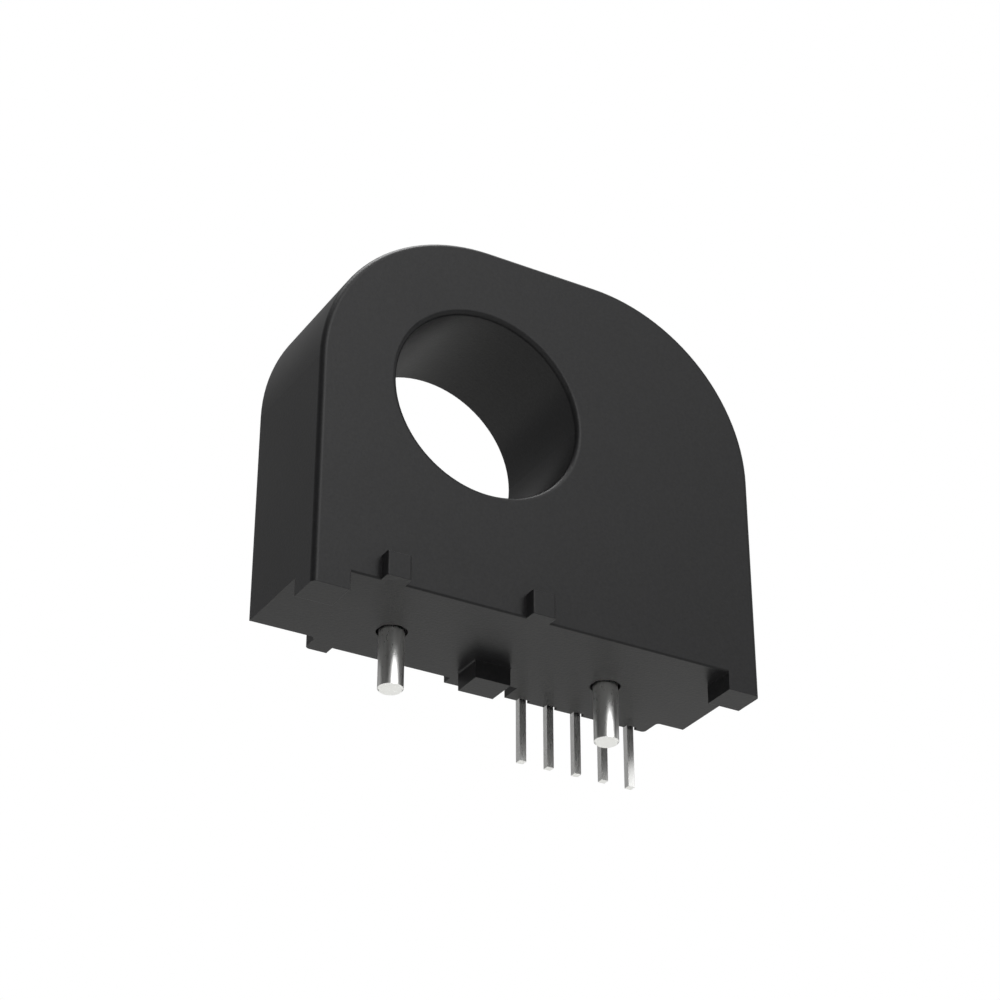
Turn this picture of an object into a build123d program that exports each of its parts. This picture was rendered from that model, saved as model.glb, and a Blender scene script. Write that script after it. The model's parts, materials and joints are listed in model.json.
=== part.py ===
from build123d import *
import os

# An open-loop hall current sensor for a circuit board. A conductor passes through its aperture.
# X runs to the right across the case, Y from its front face to its rear, along the aperture, and Z up.
# The origin is on the board that carries the sensor, midway between its two support pins.

# Case, in millimetres. Its arched left corner is concentric with the aperture and the core, so its width
# and height follow from the corner radius, the height of the aperture and the bay for the electronics.
case_depth = 10.8
corner_radius = 14.5
aperture_height = 17.9
electronics_bay = 10.15
front_edge_radius = 0.45
underside_edge_radius = 0.15
side_wall = 1.4
front_wall = 1.4
floor_wall = 2.0
aperture_diameter = 16.1
aperture_edge_radius = 0.4
tube_wall = 1.2

# Feet that hold the underside clear of the carrying board
foot_height = 1.5
foot_depth = 2.95
left_foot_width = 3.05
right_foot_width = 2.9
rear_foot_width = 3.1
rear_foot_depth = 2.8
foot_root_radius = 0.15

# Two small bosses low on the front face
front_boss_width = 2.0
front_boss_height = 2.0
front_boss_reach = 0.95
front_boss_edge_radius = 0.15
left_boss_inset = 6.54
front_boss_spacing = 12.27

# Ledges behind the underside: a lug and a block joined by a pad, and a block round the terminals
lug_inset = 5.55
lug_width = 1.9
pad_reach = 1.0
block_reach = 2.0
rear_block_width = 3.45
terminal_block_left_margin = 1.6
terminal_block_right_margin = 1.46
ledge_left_corner_radius = 0.45
ledge_right_corner_radius = 0.3
groove_width = 1.0
groove_clearance = 0.29

# Two round support pins
support_pin_spacing = 19.05
support_pin_diameter = 2.0
support_pin_grip_diameter = 1.6
support_pin_reach = 3.4
support_pin_shoulder = 0.08
support_pin_chamfer = 0.15
support_pin_inset = 10.13
support_pin_setback = 7.1
pin_recess_diameter = 2.45
pin_recess_depth = 0.4
pin_socket_diameter = 4.4
pin_socket_end_wall = 0.7
pin_socket_clearance = 0.15

# Five square terminals, bent down behind the case
terminal_count = 5
terminal_pitch = 2.54
terminal_width = 0.6
terminal_reach = 3.7
terminal_row_setback = 2.13
terminal_last_inset = 3.96
terminal_bend_radius = 0.8
terminal_tail = 0.8
terminal_edge_margin = 1.4
strip_height = 2.5
strip_stand_out = 0.2

# Rear cover, set into a rebate of the case
cover_thickness = 1.4
rebate_wall = 0.8
cover_clearance = 0.1
window_clearance = 0.15

# Ring core with its air gap
core_seat = 0.4
core_clearance = 0.15
hall_gap_clearance = 0.3
core_key_clearance = 0.2
core_stop_diameter = 2.0
core_stop_count = 3
core_seat_angle = 60
core_stop_angle = 110
core_stop_sweep = 140

# Circuit board inside the case
board_thickness = 1.0
board_gap = 0.5
board_to_cover = 0.9
board_clearance = 0.25
board_socket_clearance = 0.6
board_left_reach = 7.0
post_diameter = 3.0
peg_diameter = 1.4
peg_reach = 0.6
peg_clearance = 0.1
lower_post_inset = 3.3
lower_post_clearance = 1.05
upper_post_inset = 10.5
upper_post_drop = 4.4

# Hall element, three leads in line
hall_width = 4.0
hall_length = 3.0
hall_thickness = 1.5
hall_chamfer = 0.25
hall_clearance = 0.35
hall_lead_width = 0.4
hall_lead_pitch = 1.27
hall_lead_tail = 0.4
lead_hole_clearance = 0.15

# Amplifier, eight leads
amplifier_width = 3.9
amplifier_length = 4.9
amplifier_thickness = 1.45
amplifier_stand_off = 0.1
amplifier_leads_a_side = 4
amplifier_lead_pitch = 1.27
amplifier_lead_width = 0.42
amplifier_lead_thickness = 0.2
amplifier_lead_span = 6.0
amplifier_foot_length = 0.6
amplifier_edge_radius = 0.2

# Chip capacitors and resistors
chips_a_row = 3
chip_pitch = 2.2
chip_core_clearance = 0.5
chip_row_gap = 2.25
capacitor_size = (1.25, 2.0, 1.0)
resistor_size = (0.8, 1.6, 0.5)
chip_cap_length = 0.35
chip_cap_rise = 0.04

# Solder joints
terminal_solder_radius = 0.85
hall_solder_radius = 0.5
solder_height = 0.45

# Places worked out from the sizes above
core_outer_radius = corner_radius - side_wall - core_clearance
case_width = corner_radius + core_outer_radius + electronics_bay + side_wall
case_height = aperture_height + corner_radius
case_left = -support_pin_spacing / 2 - support_pin_inset
case_right = case_left + case_width
case_middle = (case_left + case_right) / 2
case_front = -support_pin_setback
case_rear = case_front + case_depth
underside = foot_height
floor_top = underside + floor_wall
case_top = underside + case_height

aperture_x = case_left + corner_radius
aperture_z = underside + aperture_height
aperture_radius = aperture_diameter / 2
tube_radius = aperture_radius + tube_wall
rebate_tube_radius = tube_radius - (side_wall - rebate_wall)

cover_front = case_rear - cover_thickness
board_rear = cover_front - board_to_cover
board_front = board_rear - board_thickness
core_front = case_front + front_wall + core_seat
core_rear = board_front - board_gap
core_inner_radius = tube_radius + core_clearance
core_middle_radius = (core_inner_radius + core_outer_radius) / 2
core_gap = hall_thickness + 2 * hall_gap_clearance

pin_socket_height = aperture_height - core_outer_radius - pin_socket_clearance
support_pin_grip = pin_socket_height - pin_socket_end_wall
board_bottom = underside + pin_socket_height + board_socket_clearance

last_terminal_x = case_right - terminal_last_inset
first_terminal_x = last_terminal_x - (terminal_count - 1) * terminal_pitch
terminal_xs = [first_terminal_x + i * terminal_pitch for i in range(terminal_count)]
terminal_middle_x = (first_terminal_x + last_terminal_x) / 2
terminal_y = case_rear + terminal_row_setback
terminal_z = board_bottom + terminal_edge_margin
strip_length = terminal_count * terminal_pitch
strip_rear = case_rear + strip_stand_out
groove_front = terminal_y - terminal_width / 2 - groove_clearance

lower_post = (
    case_right - lower_post_inset,
    terminal_z + strip_height / 2 + post_diameter / 2 + lower_post_clearance,
)
upper_post = (case_right - upper_post_inset, case_top - upper_post_drop)
post_places = [lower_post, upper_post]

hall_x = aperture_x + tube_radius + hall_clearance + hall_width / 2
hall_z = aperture_z
hall_front = (core_front + core_rear - hall_length) / 2
hall_rear = hall_front + hall_length
hall_lead_xs = [hall_x + i * hall_lead_pitch for i in (-1, 0, 1)]

amplifier_x = case_right - side_wall - electronics_bay / 2
amplifier_rear = board_front - amplifier_stand_off
amplifier_front = amplifier_rear - amplifier_thickness

os.makedirs("parts", exist_ok=True)


def upright(y):
    """A sketch plane across the sensor at depth y. It faces the front, so negative amounts go rearwards."""
    return Plane.XZ.offset(-y)


def arched_outline(inset, lower_edge):
    """The arched outline of the case, drawn in by inset at its sides and top, down to lower_edge."""
    width = case_width - 2 * inset
    height = case_top - inset - lower_edge
    with BuildSketch() as outline:
        with Locations((case_left + inset, lower_edge)):
            Rectangle(width, height, align=(Align.MIN, Align.MIN))
        fillet(outline.vertices().group_by(Axis.Y)[-1], corner_radius - inset)
    return outline.sketch


outer_outline = arched_outline(0, underside)
cavity_outline = arched_outline(side_wall, floor_top)
rebate_outline = arched_outline(rebate_wall, floor_top)
cover_outline = arched_outline(rebate_wall + cover_clearance, floor_top + cover_clearance)
board_outline = arched_outline(side_wall + board_clearance, board_bottom)

# Case, open at the rear
front_boss_xs = [case_left + left_boss_inset, case_left + left_boss_inset + front_boss_spacing]
support_pin_xs = [-support_pin_spacing / 2, support_pin_spacing / 2]
lug_left = case_left + lug_inset
lug_right = lug_left + lug_width
rear_block_left = case_middle - rear_block_width / 2
rear_block_right = case_middle + rear_block_width / 2
terminal_block_left = first_terminal_x - terminal_block_left_margin
terminal_block_right = last_terminal_x + terminal_block_right_margin

with BuildPart() as case:
    with BuildSketch(upright(case_front)):
        add(outer_outline)
    extrude(amount=-case_depth)

    # Feet
    with BuildSketch():
        with Locations((case_left, case_front)):
            Rectangle(left_foot_width, foot_depth, align=(Align.MIN, Align.MIN))
        with Locations((case_right, case_front)):
            Rectangle(right_foot_width, foot_depth, align=(Align.MAX, Align.MIN))
        with Locations((case_middle, case_rear)):
            Rectangle(rear_foot_width, rear_foot_depth, align=(Align.CENTER, Align.MAX))
    extrude(amount=foot_height)

    # Rounded edge round the front face, from foot to foot
    front_face = case.faces().sort_by(Axis.Y)[0]
    fillet(
        front_face.edges().filter_by(lambda edge: edge.center().Z > underside + front_edge_radius),
        front_edge_radius,
    )
    front_face = case.faces().sort_by(Axis.Y)[0]
    fillet(
        front_face.edges().filter_by(Axis.X).filter_by_position(Axis.Z, underside / 2, case_top / 2),
        underside_edge_radius,
    )
    rear_foot_roots = case.edges().filter_by(Axis.Y).filter_by_position(Axis.Z, underside, underside)
    fillet(
        rear_foot_roots.filter_by(
            lambda edge: edge.center().Y > 0 and abs(edge.center().X - case_middle) < rear_foot_width
        ),
        foot_root_radius,
    )

    # Cavity round the aperture tube, and the rebate for the rear cover
    with BuildSketch(upright(case_front + front_wall)):
        add(cavity_outline)
        with Locations((aperture_x, aperture_z)):
            Circle(tube_radius, mode=Mode.SUBTRACT)
    extrude(amount=-(case_depth - front_wall), mode=Mode.SUBTRACT)
    with BuildSketch(upright(cover_front)):
        add(rebate_outline)
        with Locations((aperture_x, aperture_z)):
            Circle(rebate_tube_radius, mode=Mode.SUBTRACT)
    extrude(amount=-cover_thickness, mode=Mode.SUBTRACT)

    # Aperture, with a rounded front rim
    with BuildSketch(upright(case_front)):
        with Locations((aperture_x, aperture_z)):
            Circle(aperture_radius)
    extrude(amount=-case_depth, mode=Mode.SUBTRACT)
    front_face = case.faces().sort_by(Axis.Y)[0]
    fillet(front_face.edges().filter_by(GeomType.CIRCLE).sort_by(SortBy.RADIUS)[:1], aperture_edge_radius)

    # Small bosses on the front face
    with BuildSketch(Plane.XY.offset(underside)) as boss_sketch:
        with Locations(*[(x, case_front + front_wall / 2) for x in front_boss_xs]):
            Rectangle(front_boss_width, front_boss_reach + front_wall / 2, align=(Align.CENTER, Align.MAX))
        fillet(boss_sketch.vertices().group_by(Axis.Y)[0], front_boss_edge_radius)
    extrude(amount=front_boss_height)

    # Ledges behind the underside, in one with the floor
    with BuildSketch(Plane.XY.offset(underside)) as ledge_sketch:
        with Locations((case_left, case_rear)):
            Rectangle(case_width, side_wall, align=(Align.MIN, Align.MAX))
        with Locations((lug_right, case_rear)):
            Rectangle(rear_block_left - lug_right, pad_reach, align=(Align.MIN, Align.MIN))
        for left, right in (
            (lug_left, lug_right),
            (rear_block_left, rear_block_right),
            (terminal_block_left, terminal_block_right),
        ):
            with Locations((left, case_rear)):
                Rectangle(right - left, block_reach, align=(Align.MIN, Align.MIN))
        for side_x in (lug_left, rear_block_left, terminal_block_left):
            corners = ledge_sketch.vertices().filter_by_position(Axis.X, side_x, side_x)
            fillet(corners, ledge_left_corner_radius)
        for side_x in (lug_right, rear_block_right, terminal_block_right):
            corners = ledge_sketch.vertices().filter_by_position(Axis.X, side_x, side_x)
            fillet(corners, ledge_right_corner_radius)
        with Locations(*[(x, groove_front) for x in terminal_xs]):
            Rectangle(groove_width, block_reach, align=(Align.CENTER, Align.MIN), mode=Mode.SUBTRACT)
    extrude(amount=floor_wall)

    # Sockets for the support pins, each with a recess round its mouth
    with BuildSketch(Plane.XY.offset(underside)):
        with Locations(*[(x, 0) for x in support_pin_xs]):
            Circle(pin_socket_diameter / 2)
    extrude(amount=pin_socket_height)
    with BuildSketch(Plane.XY.offset(underside)):
        with Locations(*[(x, 0) for x in support_pin_xs]):
            Circle(support_pin_grip_diameter / 2)
    extrude(amount=support_pin_grip, mode=Mode.SUBTRACT)
    with BuildSketch(Plane.XY.offset(underside)):
        with Locations(*[(x, 0) for x in support_pin_xs]):
            Circle(pin_recess_diameter / 2)
    extrude(amount=pin_recess_depth, mode=Mode.SUBTRACT)

    # Seats that hold the core off the front wall, and the key that stands in its gap
    with BuildSketch(upright(case_front + front_wall)):
        with Locations((aperture_x, aperture_z)):
            with PolarLocations(core_middle_radius, core_stop_count, start_angle=core_seat_angle):
                Circle(core_stop_diameter / 2)
    extrude(amount=-core_seat)
    with BuildSketch(upright(case_front + front_wall)):
        with Locations((aperture_x + tube_radius - tube_wall / 2, aperture_z)):
            Rectangle(
                core_outer_radius - tube_radius + tube_wall / 2,
                core_gap - 2 * core_key_clearance,
                align=(Align.MIN, Align.CENTER),
            )
    extrude(amount=-(hall_front - core_key_clearance - case_front - front_wall))

    # Posts for the circuit board, with pegs through it
    with BuildSketch(upright(case_front + front_wall)):
        with Locations(*post_places):
            Circle(post_diameter / 2)
    extrude(amount=-(board_front - case_front - front_wall))
    with BuildSketch(upright(board_front)):
        with Locations(*post_places):
            Circle(peg_diameter / 2)
    extrude(amount=-(board_thickness + peg_reach))

case.part.label = "case"
export_step(case.part, "parts/case.step")

# Rear cover
with BuildPart() as rear_cover:
    with BuildSketch(upright(cover_front)):
        add(cover_outline)
        with Locations((aperture_x, aperture_z)):
            Circle(rebate_tube_radius + cover_clearance, mode=Mode.SUBTRACT)
        with Locations((terminal_middle_x, terminal_z)):
            Rectangle(
                strip_length + 2 * window_clearance,
                strip_height + 2 * window_clearance,
                mode=Mode.SUBTRACT,
            )
    extrude(amount=-cover_thickness)

    # Stops that hold the core against its seats
    with BuildSketch(upright(core_rear)):
        with Locations((aperture_x, aperture_z)):
            with PolarLocations(
                core_middle_radius, core_stop_count, core_stop_angle, core_stop_sweep, endpoint=True
            ):
                Circle(core_stop_diameter / 2)
    extrude(amount=-(cover_front - core_rear))

    # Stops that hold the board on its posts, hollow over the pegs
    with BuildSketch(upright(board_rear)):
        with Locations(*post_places):
            Circle(post_diameter / 2)
            Circle(peg_diameter / 2 + peg_clearance, mode=Mode.SUBTRACT)
    extrude(amount=-board_to_cover)

rear_cover.part.label = "rear_cover"
export_step(rear_cover.part, "parts/rear_cover.step")

# Ring core wound from steel strip, cut through at its air gap
with BuildPart() as magnetic_core:
    with BuildSketch(upright(core_front)):
        with Locations((aperture_x, aperture_z)):
            Circle(core_outer_radius)
            Circle(core_inner_radius, mode=Mode.SUBTRACT)
            Rectangle(corner_radius, core_gap, align=(Align.MIN, Align.CENTER), mode=Mode.SUBTRACT)
    extrude(amount=-(core_rear - core_front))

magnetic_core.part.label = "magnetic_core"
export_step(magnetic_core.part, "parts/magnetic_core.step")

# Circuit board, cut round the aperture tube
board_left = aperture_x + board_left_reach
with BuildPart() as circuit_board:
    with BuildSketch(upright(board_front)):
        add(board_outline)
        with Locations((case_left, underside)):
            Rectangle(board_left - case_left, case_height, align=(Align.MIN, Align.MIN), mode=Mode.SUBTRACT)
        with Locations((aperture_x, aperture_z)):
            Circle(tube_radius + board_clearance, mode=Mode.SUBTRACT)
        with Locations(*post_places):
            Circle(peg_diameter / 2 + peg_clearance, mode=Mode.SUBTRACT)
        with Locations(*[(x, terminal_z) for x in terminal_xs]):
            Circle(terminal_width / 2**0.5 + lead_hole_clearance, mode=Mode.SUBTRACT)
        with Locations(*[(x, hall_z) for x in hall_lead_xs]):
            Circle(hall_lead_width / 2**0.5 + lead_hole_clearance, mode=Mode.SUBTRACT)
    extrude(amount=-board_thickness)

circuit_board.part.label = "circuit_board"
export_step(circuit_board.part, "parts/circuit_board.step")

# Hall element, standing in the gap of the core
with BuildPart() as hall_sensor_body:
    with BuildSketch(upright(hall_front)):
        with Locations((hall_x, hall_z)):
            Rectangle(hall_width, hall_thickness)
    extrude(amount=-hall_length)
    chamfer(hall_sensor_body.edges().filter_by(Axis.Y), hall_chamfer)

hall_sensor_body.part.label = "hall_sensor_body"
export_step(hall_sensor_body.part, "parts/hall_sensor_body.step")

with BuildPart() as hall_sensor_leads:
    with BuildSketch(upright(hall_rear)):
        with Locations(*[(x, hall_z) for x in hall_lead_xs]):
            Rectangle(hall_lead_width, hall_lead_width)
    extrude(amount=-(board_rear + hall_lead_tail - hall_rear))

hall_sensor_leads.part.label = "hall_sensor_leads"
export_step(hall_sensor_leads.part, "parts/hall_sensor_leads.step")

# Amplifier on the front of the board
amplifier_half_span = amplifier_lead_span / 2
lead_level = (amplifier_front + amplifier_rear) / 2
lead_underside = lead_level + amplifier_lead_thickness
lead_foot_top = board_front - amplifier_lead_thickness
lowest_lead_z = aperture_z - (amplifier_leads_a_side - 1) * amplifier_lead_pitch / 2

with BuildPart() as amplifier_body:
    with BuildSketch(upright(amplifier_front)):
        with Locations((amplifier_x, aperture_z)):
            RectangleRounded(amplifier_width, amplifier_length, amplifier_edge_radius)
    extrude(amount=-amplifier_thickness)

amplifier_body.part.label = "amplifier_body"
export_step(amplifier_body.part, "parts/amplifier_body.step")

with BuildPart() as amplifier_leads:
    for side in (-1, 1):
        root_x = amplifier_x + side * amplifier_width / 2
        tip_x = amplifier_x + side * amplifier_half_span
        outer_x = tip_x - side * amplifier_foot_length
        inner_x = outer_x - side * amplifier_lead_thickness
        for row in range(amplifier_leads_a_side):
            lead_z = lowest_lead_z + row * amplifier_lead_pitch
            with BuildSketch(Plane.XY.offset(lead_z - amplifier_lead_width / 2)):
                with BuildLine():
                    Polyline(
                        (root_x, lead_level),
                        (outer_x, lead_level),
                        (outer_x, lead_foot_top),
                        (tip_x, lead_foot_top),
                        (tip_x, board_front),
                        (inner_x, board_front),
                        (inner_x, lead_underside),
                        (root_x, lead_underside),
                        close=True,
                    )
                make_face()
            extrude(amount=amplifier_lead_width)

amplifier_leads.part.label = "amplifier_leads"
export_step(amplifier_leads.part, "parts/amplifier_leads.step")


def make_chip(name, x, z, size):
    """One chip part on the front of the board, its long side upright and a raised metal cap at each end."""
    width, length, thickness = size
    with BuildPart() as chip:
        with Locations((x, board_front - thickness / 2, z)):
            Box(width, thickness, length)
        for end in (-1, 1):
            with Locations((x, board_front - (thickness + chip_cap_rise) / 2, z + end * length / 2)):
                Box(
                    width + 2 * chip_cap_rise,
                    thickness + chip_cap_rise,
                    chip_cap_length,
                    align=(Align.CENTER, Align.CENTER, Align.MAX if end > 0 else Align.MIN),
                )
    chip.part.label = name
    export_step(chip.part, "parts/" + name + ".step")


first_chip_x = aperture_x + core_outer_radius + chip_core_clearance + capacitor_size[0] / 2
chip_row_start = amplifier_length / 2 + chip_row_gap
capacitor_z = aperture_z + chip_row_start + capacitor_size[1] / 2
resistor_z = aperture_z - chip_row_start - resistor_size[1] / 2
for i in range(chips_a_row):
    chip_x = first_chip_x + i * chip_pitch
    make_chip("capacitor_" + str(i + 1), chip_x, capacitor_z, capacitor_size)
    make_chip("resistor_" + str(i + 1), chip_x, resistor_z, resistor_size)

# Terminals, each bent down from the board to its own groove in the ledge
terminal_front = board_front - terminal_tail
for i, x in enumerate(terminal_xs):
    with BuildPart() as terminal_pin:
        with BuildLine():
            FilletPolyline(
                (x, terminal_front, terminal_z),
                (x, terminal_y, terminal_z),
                (x, terminal_y, -terminal_reach),
                radius=terminal_bend_radius,
            )
        with BuildSketch(upright(terminal_front)):
            with Locations((x, terminal_z)):
                Rectangle(terminal_width, terminal_width)
        sweep()
    terminal_pin.part.label = "terminal_pin_" + str(i + 1)
    export_step(terminal_pin.part, "parts/terminal_pin_" + str(i + 1) + ".step")

# Strip that carries the terminals on the rear of the board
with BuildPart() as terminal_strip:
    with BuildSketch(upright(board_rear)):
        with Locations((terminal_middle_x, terminal_z)):
            Rectangle(strip_length, strip_height)
        with Locations(*[(x, terminal_z) for x in terminal_xs]):
            Rectangle(terminal_width, terminal_width, mode=Mode.SUBTRACT)
    extrude(amount=-(strip_rear - board_rear))

terminal_strip.part.label = "terminal_strip"
export_step(terminal_strip.part, "parts/terminal_strip.step")

# Support pins, each with a slimmer grip that is held in the case
for name, x in zip(("support_pin_left", "support_pin_right"), support_pin_xs):
    with BuildPart() as support_pin:
        with BuildSketch(Plane.XY.offset(-support_pin_reach)):
            with Locations((x, 0)):
                Circle(support_pin_diameter / 2)
        extrude(amount=support_pin_reach + underside + support_pin_shoulder)
        chamfer(support_pin.faces().sort_by(Axis.Z)[0].edges(), support_pin_chamfer)
        with BuildSketch(Plane.XY.offset(underside + support_pin_shoulder)):
            with Locations((x, 0)):
                Circle(support_pin_grip_diameter / 2)
        extrude(amount=support_pin_grip - support_pin_shoulder)
    support_pin.part.label = name
    export_step(support_pin.part, "parts/" + name + ".step")

# Solder joints: a cone round each terminal at the front of the board, and round each hall lead behind it
with BuildPart() as terminal_solder:
    for x in terminal_xs:
        with BuildSketch(upright(board_front)):
            with Locations((x, terminal_z)):
                Circle(terminal_solder_radius)
        with BuildSketch(upright(board_front - solder_height)):
            with Locations((x, terminal_z)):
                Circle(terminal_width)
        loft()
    with BuildSketch(upright(board_front)):
        with Locations(*[(x, terminal_z) for x in terminal_xs]):
            Rectangle(terminal_width, terminal_width)
    extrude(amount=terminal_tail, mode=Mode.SUBTRACT)

terminal_solder.part.label = "terminal_solder"
export_step(terminal_solder.part, "parts/terminal_solder.step")

with BuildPart() as hall_solder:
    for x in hall_lead_xs:
        with BuildSketch(upright(board_rear)):
            with Locations((x, hall_z)):
                Circle(hall_solder_radius)
        with BuildSketch(upright(board_rear + solder_height)):
            with Locations((x, hall_z)):
                Circle(hall_lead_width)
        loft()
    with BuildSketch(upright(board_rear)):
        with Locations(*[(x, hall_z) for x in hall_lead_xs]):
            Rectangle(hall_lead_width, hall_lead_width)
    extrude(amount=-board_to_cover, mode=Mode.SUBTRACT)

hall_solder.part.label = "hall_solder"
export_step(hall_solder.part, "parts/hall_solder.step")
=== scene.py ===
import json
import math

import bpy
from mathutils import Matrix, Vector

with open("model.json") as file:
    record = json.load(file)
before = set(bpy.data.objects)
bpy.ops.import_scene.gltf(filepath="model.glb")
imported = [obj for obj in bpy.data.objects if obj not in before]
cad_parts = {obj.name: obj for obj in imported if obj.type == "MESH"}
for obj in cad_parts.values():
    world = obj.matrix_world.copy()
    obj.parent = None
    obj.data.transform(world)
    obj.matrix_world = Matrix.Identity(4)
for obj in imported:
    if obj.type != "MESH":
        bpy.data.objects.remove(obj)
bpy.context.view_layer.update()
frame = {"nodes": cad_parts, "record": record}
MM = 0.001

# Where the aperture and the core round it are, read from the frame
mounts = {mount["name"]: mount for mount in frame["record"]["mounts"]}
aperture_centre = Vector(mounts["primary_aperture"]["pos_m"])

# Camera, below and to the left of the sensor
VIEW_AZIMUTH = -30.0
VIEW_ELEVATION = -30.0
VIEW_TARGET = Vector((0.343, 0.708, 16.23)) * MM
VIEW_DISTANCE = 200.58 * MM
LENS_MM = 89.66
SENSOR_MM = 36.0

# Studio. Gloss reflects grey walls with soft panels of light, and a panel below zero is a dark cloth. Each
# has its azimuth from the sensor's front, its elevation, how tightly it is gathered, and its strength.
WALL_LEVEL = 0.5
PANELS = (
    # Overhead and down to the front, for the line of light on the case's rims
    (0.0, 90.0, 24.0, 10.0),
    (0.0, 70.0, 24.0, 0.4),
    (0.0, 50.0, 24.0, 0.9),
    # In front, for the front face and the highlight on the pins
    (20.0, 30.0, 24.0, 1.8),
    (0.0, 30.0, 24.0, 4.2),
    # A weak one to the right
    (69.0, 0.0, 5.0, 0.3),
    # Cloths low in front
    (40.0, 10.0, 16.0, -0.15),
    (20.0, 0.0, 10.0, -0.2),
    (-30.0, 0.0, 8.0, -0.4),
    # Cloths to the left and behind, for the left side and the bore
    (-90.0, 30.0, 5.0, -0.45),
    (-150.0, 30.0, 8.0, -0.08),
    (135.0, 35.0, 5.0, -0.3),
    (180.0, 5.0, 8.0, -0.3),
)
FLOOR_DROP = 115.0 * MM
FLOOR_SIDE = 3000.0 * MM

# Sizes of the patterns, in millimetres. The clouds in the case's gloss, the turns of the core, the weave of
# the board and the fibres of the floor's paper are as large as on the real thing. The rest are too fine to
# show, so they are drawn about two to five times as coarse.
CASE_GRAIN = 0.24
COVER_GRAIN = 0.2
CLOUD = 7.0
FIBRE_END = 0.12
DRAWN_LINE = 0.12
DIPPED_CRYSTAL = 0.25
SOLDER_CRYSTAL = 0.4
STRIP_TURN = 0.3
CLOTH_WEAVE = 0.45
EPOXY_SAND = 0.08
CERAMIC_SPECK = 0.1
PAPER_FIBRE = 1.5


def toward(azimuth, elevation):
    """The direction at this azimuth from the sensor's front, turning to its right, and this elevation."""
    turn, rise = math.radians(azimuth), math.radians(elevation)
    return Vector((math.sin(turn) * math.cos(rise), -math.cos(turn) * math.cos(rise), math.sin(rise)))


def srgb(code):
    """The linear colour of an sRGB hex code such as 1c1c1e."""
    values = [int(code[i : i + 2], 16) / 255 for i in (0, 2, 4)]
    linear = [v / 12.92 if v <= 0.04045 else ((v + 0.055) / 1.055) ** 2.4 for v in values]
    return (*linear, 1.0)


def add(tree, kind, settings=None, inputs=None):
    """Adds a node with its settings, and fills its inputs with values or with sockets to link. Inputs that
    share a name go by number: of a Mix node, 0 is the share, 2 and 3 are the values and 6 and 7 the colours,
    and its outputs 0 and 2 are the mixed value and colour."""
    node = tree.nodes.new(kind)
    for name, value in (settings or {}).items():
        setattr(node, name, value)
    for name, value in (inputs or {}).items():
        if isinstance(value, bpy.types.NodeSocket):
            tree.links.new(value, node.inputs[name])
        else:
            node.inputs[name].default_value = value
    return node


def per_mm(size):
    """The texture scale that gives a noise pattern features of this size in millimetres."""
    return 1.0 / (size * MM)


def per_band(pitch):
    """The scale that gives a wave texture one band in every pitch of millimetres."""
    return math.pi / 10 / (pitch * MM)


def new_material(name):
    """An empty material of this name, its tree, and where a point is on the sensor."""
    material = bpy.data.materials.new(name)
    material.use_nodes = True
    tree = material.node_tree
    tree.nodes.clear()
    return material, tree, add(tree, "ShaderNodeTexCoord").outputs["Object"]


def finish_material(tree, shader_inputs):
    """Closes a material with its surface shader."""
    shader = add(tree, "ShaderNodeBsdfPrincipled", inputs=shader_inputs)
    add(tree, "ShaderNodeOutputMaterial", inputs={"Surface": shader.outputs["BSDF"]})


def moulded_pbt(name, grain_mm, dull, bright, relief):
    """Glass-filled PBT, moulded black. A dull skin with the fine even grain of a spark-eroded mould, where
    the glass fibre leaves faint clouds of more and less gloss. The grain scatters much of the light, so the
    plastic mirrors less of it than a polished one would."""
    material, tree, place = new_material(name)
    grain = add(
        tree,
        "ShaderNodeTexNoise",
        inputs={"Vector": place, "Scale": per_mm(grain_mm), "Detail": 3.0, "Roughness": 0.6},
    )
    clouds = add(
        tree,
        "ShaderNodeTexNoise",
        inputs={"Vector": place, "Scale": per_mm(CLOUD), "Detail": 2.0, "Roughness": 0.5},
    )
    roughness = add(
        tree,
        "ShaderNodeMapRange",
        inputs={
            "Value": clouds.outputs["Fac"],
            "From Min": 0.3,
            "From Max": 0.7,
            "To Min": bright,
            "To Max": dull,
        },
    )
    colour = add(
        tree,
        "ShaderNodeMix",
        {"data_type": "RGBA"},
        {0: grain.outputs["Fac"], 6: srgb("0f0f10"), 7: srgb("202021")},
    )
    edge = add(tree, "ShaderNodeBevel", {"samples": 4}, {"Radius": 0.06 * MM})
    bump = add(
        tree,
        "ShaderNodeBump",
        inputs={
            "Strength": relief,
            "Distance": 0.02 * MM,
            "Height": grain.outputs["Fac"],
            "Normal": edge.outputs["Normal"],
        },
    )
    finish_material(
        tree,
        {
            "Base Color": colour.outputs[2],
            "Roughness": roughness.outputs["Result"],
            "IOR": 1.5,
            "Specular IOR Level": 0.175,
            "Normal": bump.outputs["Normal"],
        },
    )
    return material


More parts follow.
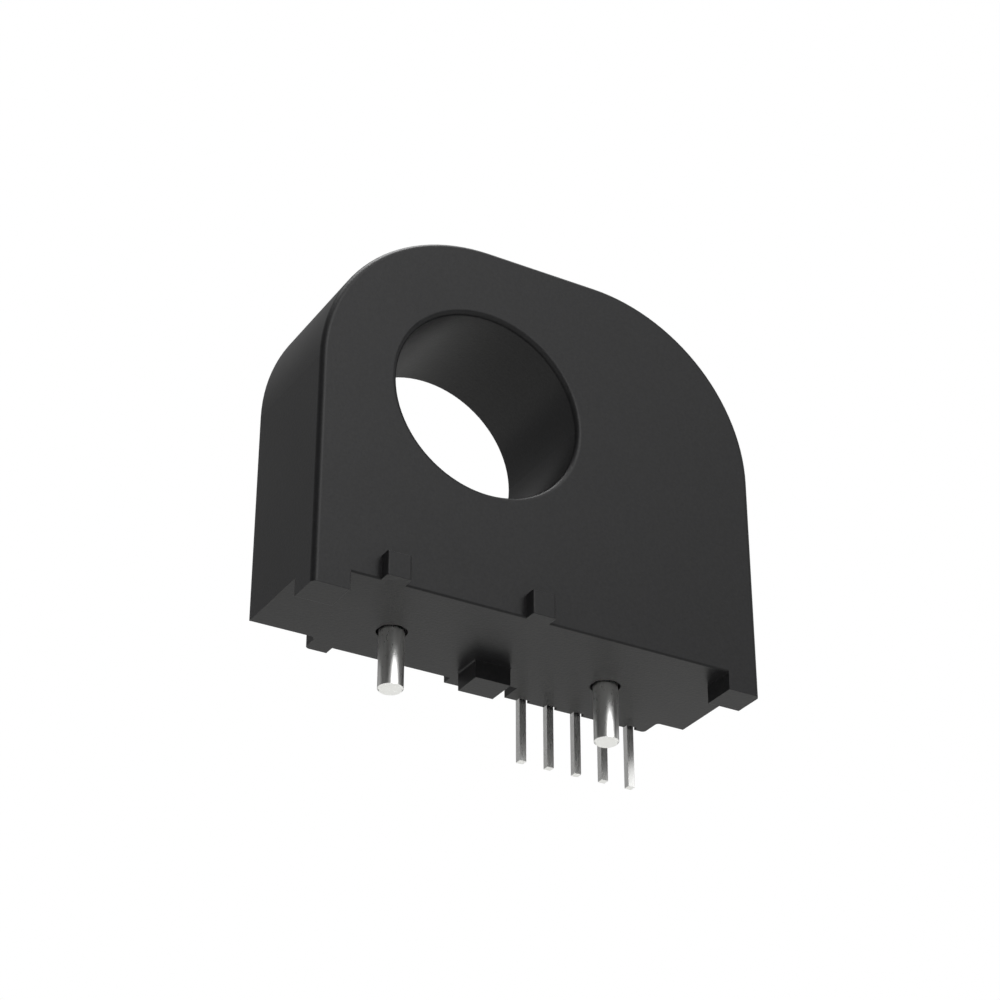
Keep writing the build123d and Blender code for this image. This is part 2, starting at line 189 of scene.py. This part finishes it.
def moulded_nylon():
    """Glass-filled nylon, moulded black, for the terminal strip. It is a little glossier and warmer than the
    case, with pale flecks where ends of glass fibre reach the skin."""
    material, tree, place = new_material("moulded_nylon")
    fibre = add(
        tree,
        "ShaderNodeTexNoise",
        inputs={"Vector": place, "Scale": per_mm(FIBRE_END), "Detail": 2.0, "Roughness": 0.7},
    )
    fleck = add(
        tree,
        "ShaderNodeMapRange",
        inputs={"Value": fibre.outputs["Fac"], "From Min": 0.6, "From Max": 0.75},
    )
    colour = add(
        tree,
        "ShaderNodeMix",
        {"data_type": "RGBA"},
        {0: fleck.outputs["Result"], 6: srgb("1c1a19"), 7: srgb("3a3734")},
    )
    roughness = add(
        tree,
        "ShaderNodeMapRange",
        inputs={
            "Value": fibre.outputs["Fac"],
            "From Min": 0.3,
            "From Max": 0.7,
            "To Min": 0.32,
            "To Max": 0.4,
        },
    )
    bump = add(
        tree,
        "ShaderNodeBump",
        inputs={"Strength": 0.2, "Distance": 0.02 * MM, "Height": fibre.outputs["Fac"]},
    )
    finish_material(
        tree,
        {
            "Base Color": colour.outputs[2],
            "Roughness": roughness.outputs["Result"],
            "IOR": 1.53,
            "Normal": bump.outputs["Normal"],
        },
    )
    return material


def tinned_brass(name, tint, drawn_along, rubbed, bright):
    """Brass with a coat of tin. A silver metal, with the faint lines that the drawing die or the lathe left
    under the coat: long in the direction drawn_along stretches them, and fine across it."""
    material, tree, place = new_material(name)
    stretched = add(tree, "ShaderNodeMapping", inputs={"Vector": place, "Scale": drawn_along})
    lines = add(
        tree,
        "ShaderNodeTexNoise",
        inputs={
            "Vector": stretched.outputs["Vector"],
            "Scale": per_mm(DRAWN_LINE),
            "Detail": 3.0,
            "Roughness": 0.6,
        },
    )
    roughness = add(
        tree,
        "ShaderNodeMapRange",
        inputs={
            "Value": lines.outputs["Fac"],
            "From Min": 0.3,
            "From Max": 0.7,
            "To Min": bright,
            "To Max": rubbed,
        },
    )
    edge = add(tree, "ShaderNodeBevel", {"samples": 4}, {"Radius": 0.04 * MM})
    bump = add(
        tree,
        "ShaderNodeBump",
        inputs={
            "Strength": 0.03,
            "Distance": 0.01 * MM,
            "Height": lines.outputs["Fac"],
            "Normal": edge.outputs["Normal"],
        },
    )
    finish_material(
        tree,
        {
            "Base Color": srgb(tint),
            "Metallic": 1.0,
            "Roughness": roughness.outputs["Result"],
            "Normal": bump.outputs["Normal"],
        },
    )
    return material


def dull_tin(name, tint, grain_mm, rubbed, bright):
    """Tin that was dipped or melted and not polished. A grey-white metal with soft crystal patches, duller in
    some than in others."""
    material, tree, place = new_material(name)
    crystal = add(tree, "ShaderNodeTexVoronoi", inputs={"Vector": place, "Scale": per_mm(grain_mm)})
    patch = add(tree, "ShaderNodeSeparateColor", inputs={"Color": crystal.outputs["Color"]})
    roughness = add(
        tree,
        "ShaderNodeMapRange",
        inputs={"Value": patch.outputs["Red"], "To Min": bright, "To Max": rubbed},
    )
    bump = add(
        tree,
        "ShaderNodeBump",
        inputs={"Strength": 0.25, "Distance": 0.02 * MM, "Height": crystal.outputs["Distance"]},
    )
    finish_material(
        tree,
        {
            "Base Color": srgb(tint),
            "Metallic": 1.0,
            "Roughness": roughness.outputs["Result"],
            "Normal": bump.outputs["Normal"],
        },
    )
    return material


def wound_silicon_steel():
    """Silicon steel strip wound into a ring and varnished. The edges of its turns show as fine rings round
    the aperture, blue-grey with dark varnish between them."""
    material, tree, place = new_material("wound_silicon_steel")
    from_axis = add(tree, "ShaderNodeVectorMath", {"operation": "SUBTRACT"}, {0: place, 1: aperture_centre})
    turns = add(
        tree,
        "ShaderNodeTexWave",
        {"wave_type": "RINGS", "rings_direction": "Y"},
        {
            "Vector": from_axis.outputs["Vector"],
            "Scale": per_band(STRIP_TURN),
            "Distortion": 0.6,
            "Detail": 2.0,
        },
    )
    colour = add(
        tree,
        "ShaderNodeMix",
        {"data_type": "RGBA"},
        {0: turns.outputs["Fac"], 6: srgb("3b3a39"), 7: srgb("8f9398")},
    )
    roughness = add(
        tree,
        "ShaderNodeMapRange",
        inputs={"Value": turns.outputs["Fac"], "To Min": 0.55, "To Max": 0.34},
    )
    bump = add(
        tree,
        "ShaderNodeBump",
        inputs={"Strength": 0.4, "Distance": 0.03 * MM, "Height": turns.outputs["Fac"]},
    )
    finish_material(
        tree,
        {
            "Base Color": colour.outputs[2],
            "Metallic": 1.0,
            "Roughness": roughness.outputs["Result"],
            "Normal": bump.outputs["Normal"],
        },
    )
    return material


def masked_fr4():
    """FR-4 laminate under green solder mask. The mask is glossy and shows the weave of the glass cloth under
    it. The routed edges are bare, pale yellow and dull."""
    material, tree, place = new_material("masked_fr4")
    weft, warp = [
        add(
            tree,
            "ShaderNodeTexWave",
            {"bands_direction": direction},
            {"Vector": place, "Scale": per_band(CLOTH_WEAVE), "Distortion": 0.4},
        ).outputs["Fac"]
        for direction in ("X", "Z")
    ]
    weave = add(tree, "ShaderNodeMath", {"operation": "MULTIPLY"}, {0: weft, 1: warp})
    mask = add(
        tree,
        "ShaderNodeMix",
        {"data_type": "RGBA"},
        {0: weave.outputs["Value"], 6: srgb("0e4a2c"), 7: srgb("196b3f")},
    )
    surface = add(tree, "ShaderNodeNewGeometry")
    facing = add(tree, "ShaderNodeSeparateXYZ", inputs={"Vector": surface.outputs["Normal"]})
    side = add(tree, "ShaderNodeMath", {"operation": "ABSOLUTE"}, {0: facing.outputs["Y"]})
    face = add(tree, "ShaderNodeMath", {"operation": "GREATER_THAN"}, {0: side.outputs["Value"], 1: 0.5})
    colour = add(
        tree,
        "ShaderNodeMix",
        {"data_type": "RGBA"},
        {0: face.outputs["Value"], 6: srgb("b9b07a"), 7: mask.outputs[2]},
    )
    roughness = add(
        tree,
        "ShaderNodeMapRange",
        inputs={"Value": face.outputs["Value"], "To Min": 0.8, "To Max": 0.28},
    )
    bump = add(
        tree,
        "ShaderNodeBump",
        inputs={"Strength": 0.15, "Distance": 0.02 * MM, "Height": weave.outputs["Value"]},
    )
    finish_material(
        tree,
        {
            "Base Color": colour.outputs[2],
            "Roughness": roughness.outputs["Result"],
            "IOR": 1.55,
            "Normal": bump.outputs["Normal"],
        },
    )
    return material


def moulded_epoxy():
    """Silica-filled epoxy, moulded round the chips. Matt charcoal, with a fine sandy grain."""
    material, tree, place = new_material("moulded_epoxy")
    sand = add(
        tree,
        "ShaderNodeTexNoise",
        inputs={"Vector": place, "Scale": per_mm(EPOXY_SAND), "Detail": 2.0, "Roughness": 0.6},
    )
    colour = add(
        tree,
        "ShaderNodeMix",
        {"data_type": "RGBA"},
        {0: sand.outputs["Fac"], 6: srgb("222224"), 7: srgb("34343a")},
    )
    bump = add(
        tree,
        "ShaderNodeBump",
        inputs={"Strength": 0.3, "Distance": 0.01 * MM, "Height": sand.outputs["Fac"]},
    )
    finish_material(
        tree,
        {"Base Color": colour.outputs[2], "Roughness": 0.62, "IOR": 1.55, "Normal": bump.outputs["Normal"]},
    )
    return material


def chip_body(name, body, top, cap_share, gloss):
    """A ceramic chip with tinned ends. The ceramic is smooth with faint specks, and the resistors have a
    printed glaze on the side away from the board. Each tinned end takes cap_share of the length."""
    material, tree, place = new_material(name)
    along = add(
        tree,
        "ShaderNodeSeparateXYZ",
        inputs={"Vector": add(tree, "ShaderNodeTexCoord").outputs["Generated"]},
    )
    from_middle = add(tree, "ShaderNodeMath", {"operation": "SUBTRACT"}, {0: along.outputs["Z"], 1: 0.5})
    distance = add(tree, "ShaderNodeMath", {"operation": "ABSOLUTE"}, {0: from_middle.outputs["Value"]})
    cap = add(
        tree,
        "ShaderNodeMath",
        {"operation": "GREATER_THAN"},
        {0: distance.outputs["Value"], 1: 0.5 - cap_share},
    )
    surface = add(tree, "ShaderNodeNewGeometry")
    facing = add(tree, "ShaderNodeSeparateXYZ", inputs={"Vector": surface.outputs["Normal"]})
    outward = add(tree, "ShaderNodeMath", {"operation": "LESS_THAN"}, {0: facing.outputs["Y"], 1: -0.5})
    speck = add(
        tree,
        "ShaderNodeTexNoise",
        inputs={"Vector": place, "Scale": per_mm(CERAMIC_SPECK), "Detail": 2.0},
    )
    ceramic = add(
        tree,
        "ShaderNodeMix",
        {"data_type": "RGBA", "blend_type": "MULTIPLY"},
        {0: 0.35, 6: srgb(body), 7: speck.outputs["Color"]},
    )
    glazed = add(
        tree,
        "ShaderNodeMix",
        {"data_type": "RGBA"},
        {0: outward.outputs["Value"], 6: ceramic.outputs[2], 7: srgb(top)},
    )
    colour = add(
        tree,
        "ShaderNodeMix",
        {"data_type": "RGBA"},
        {0: cap.outputs["Value"], 6: glazed.outputs[2], 7: srgb("c9c9c6")},
    )
    roughness = add(
        tree,
        "ShaderNodeMapRange",
        inputs={"Value": cap.outputs["Value"], "To Min": gloss, "To Max": 0.35},
    )
    finish_material(
        tree,
        {
            "Base Color": colour.outputs[2],
            "Metallic": cap.outputs["Value"],
            "Roughness": roughness.outputs["Result"],
        },
    )
    return material


# One material for each slot of the record
finishes = {
    "case_plastic": moulded_pbt("moulded_pbt", CASE_GRAIN, 0.36, 0.33, 0.5),
    "cover_plastic": moulded_pbt("smooth_moulded_pbt", COVER_GRAIN, 0.34, 0.32, 0.35),
    "core_steel": wound_silicon_steel(),
    "board_laminate": masked_fr4(),
    "package_epoxy": moulded_epoxy(),
    "tinned_leads": dull_tin("dipped_tin", "c4c4c0", DIPPED_CRYSTAL, 0.42, 0.3),
    "chip_ceramic": chip_body("barium_titanate", "8a6a48", "8f6f4c", 0.175, 0.5),
    "resistor_ceramic": chip_body("glazed_alumina", "dfddd6", "191919", 0.22, 0.4),
    "tinned_terminal": tinned_brass("tinned_brass_wire", "e9e9e7", (1.0, 1.0, 0.06), 0.3, 0.26),
    "strip_plastic": moulded_nylon(),
    "tinned_pin": tinned_brass("tinned_brass_rod", "ececea", (1.0, 1.0, 0.2), 0.31, 0.27),
    "solder": dull_tin("tin_solder", "d0d0cc", SOLDER_CRYSTAL, 0.28, 0.18),
}

slots = {entry["node"]: entry["material_slot"] for entry in frame["record"]["subparts"]}
for name, node in frame["nodes"].items():
    node.material_slots[0].material = finishes[slots[name]]

# Studio: white all round, where gloss sees the floor and, above it, panels and cloths between grey walls
world = bpy.data.worlds.new("studio")
bpy.context.scene.world = world
world.use_nodes = True
sky = world.node_tree
sky.nodes.clear()
direction = add(sky, "ShaderNodeTexCoord").outputs["Generated"]
light = WALL_LEVEL
for azimuth, elevation, gathered, strength in PANELS:
    facing = add(
        sky,
        "ShaderNodeVectorMath",
        {"operation": "DOT_PRODUCT"},
        {0: direction, 1: toward(azimuth, elevation)},
    )
    ahead = add(sky, "ShaderNodeMath", {"operation": "MAXIMUM"}, {0: facing.outputs["Value"], 1: 0.0})
    panel = add(sky, "ShaderNodeMath", {"operation": "POWER"}, {0: ahead.outputs["Value"], 1: gathered})
    lit = add(
        sky,
        "ShaderNodeMath",
        {"operation": "MULTIPLY_ADD"},
        {0: panel.outputs["Value"], 1: strength, 2: light},
    )
    light = lit.outputs["Value"]
rays = add(sky, "ShaderNodeLightPath")
seen = add(sky, "ShaderNodeMath", {"operation": "MAXIMUM"}, {0: light, 1: 0.0})
level = add(sky, "ShaderNodeMix", inputs={0: rays.outputs["Is Glossy Ray"], 2: 1.0, 3: seen.outputs["Value"]})
background = add(sky, "ShaderNodeBackground", inputs={"Color": (1, 1, 1, 1), "Strength": level.outputs[0]})
add(sky, "ShaderNodeOutputWorld", inputs={"Surface": background.outputs["Background"]})

# Pale floor, well below the sensor, which hangs over it as in its board
mesh = bpy.data.meshes.new("studio_floor")
half = FLOOR_SIDE / 2
corners = [(x, y, -FLOOR_DROP) for x, y in ((-half, -half), (half, -half), (half, half), (-half, half))]
mesh.from_pydata(corners, [], [(0, 1, 2, 3)])
floor = bpy.data.objects.new("studio_floor", mesh)
bpy.context.collection.objects.link(floor)
paper, tree, place = new_material("matt_paper")
fibres = add(
    tree,
    "ShaderNodeTexNoise",
    inputs={"Vector": place, "Scale": per_mm(PAPER_FIBRE), "Detail": 3.0},
)
tone = add(
    tree,
    "ShaderNodeMix",
    {"data_type": "RGBA"},
    {0: fibres.outputs["Fac"], 6: srgb("f0f0ee"), 7: srgb("f4f4f2")},
)
finish_material(tree, {"Base Color": tone.outputs[2], "Roughness": 0.9})
mesh.materials.append(paper)

# Camera
back = toward(VIEW_AZIMUTH, VIEW_ELEVATION)
right = Vector((0, 0, 1)).cross(back).normalized()
up = back.cross(right)
lens = bpy.data.cameras.new("camera")
lens.lens = LENS_MM
lens.sensor_width = SENSOR_MM
lens.sensor_fit = "HORIZONTAL"
lens.clip_start = 0.01
camera = bpy.data.objects.new("camera", lens)
camera.matrix_world = Matrix((right, up, back)).transposed().to_4x4()
camera.location = VIEW_TARGET + back * VIEW_DISTANCE
bpy.context.collection.objects.link(camera)
bpy.context.scene.camera = camera

bpy.context.scene.view_settings.view_transform = "Standard"
